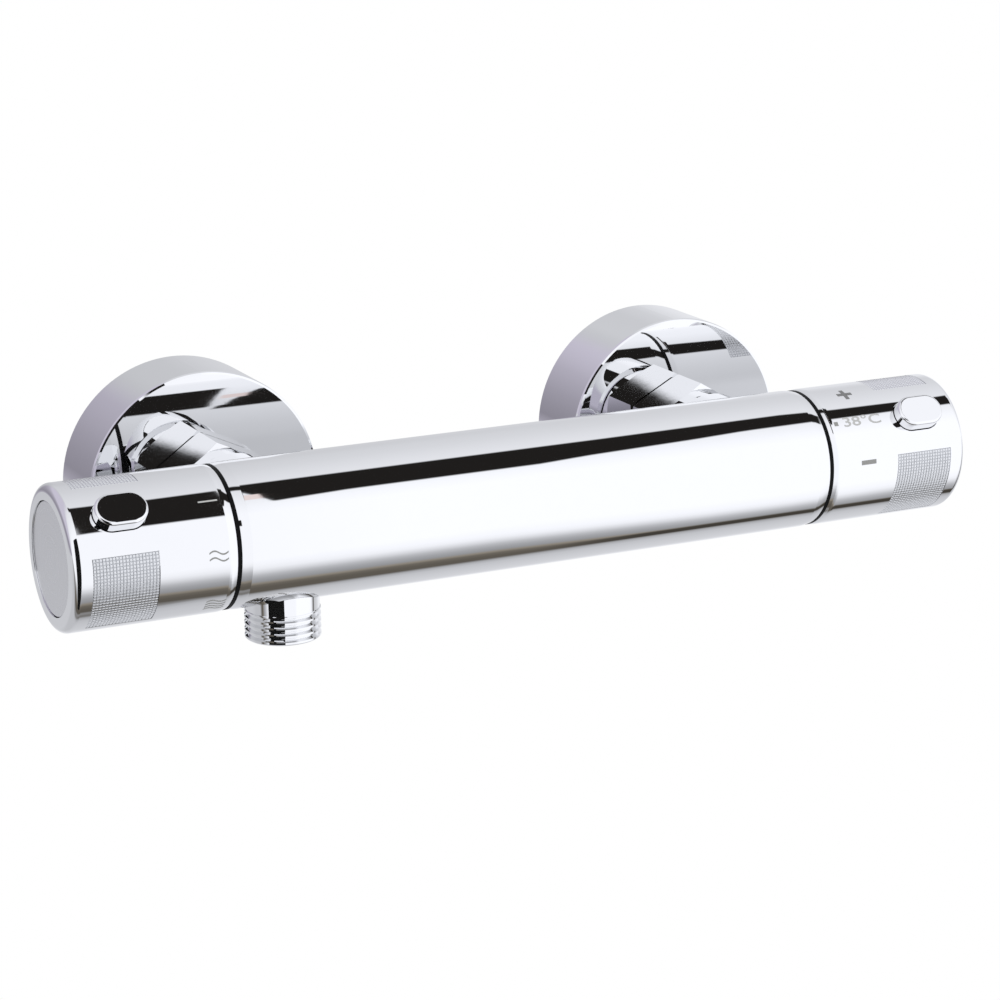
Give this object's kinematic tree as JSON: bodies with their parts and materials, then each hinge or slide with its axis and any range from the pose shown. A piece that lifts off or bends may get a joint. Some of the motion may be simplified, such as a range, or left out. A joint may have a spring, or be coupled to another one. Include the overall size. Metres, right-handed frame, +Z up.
{
  "type": "thermostatic shower valve",
  "caption": "Round chromed bar valve with a flow handle, a temperature handle, push-button stops, a hose outlet below and wall unions behind round plates.",
  "frame": {"origin": "midway between the two wall threads, in the plane of the finished wall", "axes": "+X along the bar towards the temperature handle, +Y into the wall, +Z up"},
  "size_m": [0.27, 0.1054, 0.068],
  "materials": {
    "chrome": "polished chrome plate over brass",
    "satin_metal": "satin",
    "black_plastic": "moulded black",
    "brass": "turned",
    "steel": "stainless",
    "rubber": "black elastomer",
    "white_plastic": "moulded acetal",
    "grey_plastic": "glass-filled moulding",
    "ceramic": "lapped",
    "copper": "drawn copper"
  },
  "bodies": {
    "valve_fixed": {"valve_body": "chrome", "outlet_nipple": "chrome", "hot_union_nut": "chrome", "cold_union_nut": "chrome", "hot_escutcheon": "chrome", "cold_escutcheon": "chrome", "flow_slip_ring": "black_plastic", "temperature_slip_ring": "black_plastic", "hot_wall_union": "brass", "cold_wall_union": "brass", "hot_inlet_tail": "brass", "cold_inlet_tail": "brass", "flow_headwork": "brass", "thermostat_head": "brass", "return_spring": "steel", "hot_check_spring": "steel", "cold_check_spring": "steel", "thermostat_strainer": "steel", "outlet_seal": "rubber", "flow_flange_seal": "rubber", "flow_seat_seal": "rubber", "thermostat_land_seals": "rubber", "thermostat_nose_seal": "rubber", "inlet_tail_seals": "rubber", "escutcheon_seals": "rubber", "hot_filter_washer": "rubber", "cold_filter_washer": "rubber", "flow_stop_ring": "white_plastic", "temperature_stop_ring": "white_plastic", "hot_check_housing": "white_plastic", "cold_check_housing": "white_plastic", "thermostat_housing": "grey_plastic", "thermostat_cold_seat": "grey_plastic", "flow_fixed_disc": "ceramic"},
    "flow_handle_turning": {"flow_handle": "chrome", "flow_end_cap": "satin_metal", "flow_spline_insert": "white_plastic", "flow_handle_screw": "steel", "flow_circlip": "steel", "flow_button_spring": "steel", "flow_spindle": "brass", "flow_spindle_seal": "rubber", "flow_moving_disc": "ceramic"},
    "flow_button_pushing": {"flow_button": "chrome"},
    "temperature_handle_turning": {"temperature_handle": "chrome", "temperature_end_cap": "satin_metal", "temperature_spline_insert": "white_plastic", "temperature_handle_screw": "steel", "temperature_circlip": "steel", "temperature_button_spring": "steel", "thermostat_spindle": "brass", "thermostat_spindle_seal": "rubber"},
    "temperature_button_pushing": {"temperature_button": "chrome"},
    "thermostat_core_sliding": {"thermostat_shuttle": "grey_plastic", "wax_element": "copper", "thermostat_carrier": "grey_plastic", "thermostat_pusher": "grey_plastic", "overheat_spring": "steel"},
    "hot_check_moving": {"hot_check_poppet": "white_plastic"},
    "cold_check_moving": {"cold_check_poppet": "white_plastic"}
  },
  "joints": [
    {"name": "flow_turn", "type": "hinge", "parent": "valve_fixed", "child": "flow_handle_turning", "pos_m": [-0.1, -0.07, 0.006], "axis": [-1, 0, 0], "range_deg": [0, 92]},
    {"name": "flow_button_push", "type": "slide", "parent": "flow_handle_turning", "child": "flow_button_pushing", "axis": [0, 0.7193, -0.6947], "range_m": [0, 0.002], "stiffness_N_per_m": 800, "springref_m": -0.002, "deforming": ["flow_button_spring"]},
    {"name": "temperature_turn", "type": "hinge", "parent": "valve_fixed", "child": "temperature_handle_turning", "pos_m": [0.1, -0.07, 0.006], "axis": [1, 0, 0], "range_deg": [-130, 70]},
    {"name": "temperature_button_push", "type": "slide", "parent": "temperature_handle_turning", "child": "temperature_button_pushing", "axis": [0, 0.7683, -0.6401], "range_m": [0, 0.002], "stiffness_N_per_m": 800, "springref_m": -0.002, "deforming": ["temperature_button_spring"]},
    {"name": "thermostat_core_slide", "type": "slide", "parent": "valve_fixed", "child": "thermostat_core_sliding", "axis": [1, 0, 0], "range_m": [-0.00147, 0.0008], "deforming": ["return_spring"]},
    {"name": "hot_check_lift", "type": "slide", "parent": "valve_fixed", "child": "hot_check_moving", "axis": [0, -1, 0], "range_m": [0, 0.0025], "stiffness_N_per_m": 40, "springref_m": -0.002, "deforming": ["hot_check_spring"]},
    {"name": "cold_check_lift", "type": "slide", "parent": "valve_fixed", "child": "cold_check_moving", "axis": [0, -1, 0], "range_m": [0, 0.0025], "stiffness_N_per_m": 40, "springref_m": -0.002, "deforming": ["cold_check_spring"]}
  ],
  "couplings": [
    {"joint": "thermostat_core_slide", "follows": "temperature_turn", "m_per_rad": 0.000637}
  ]
}
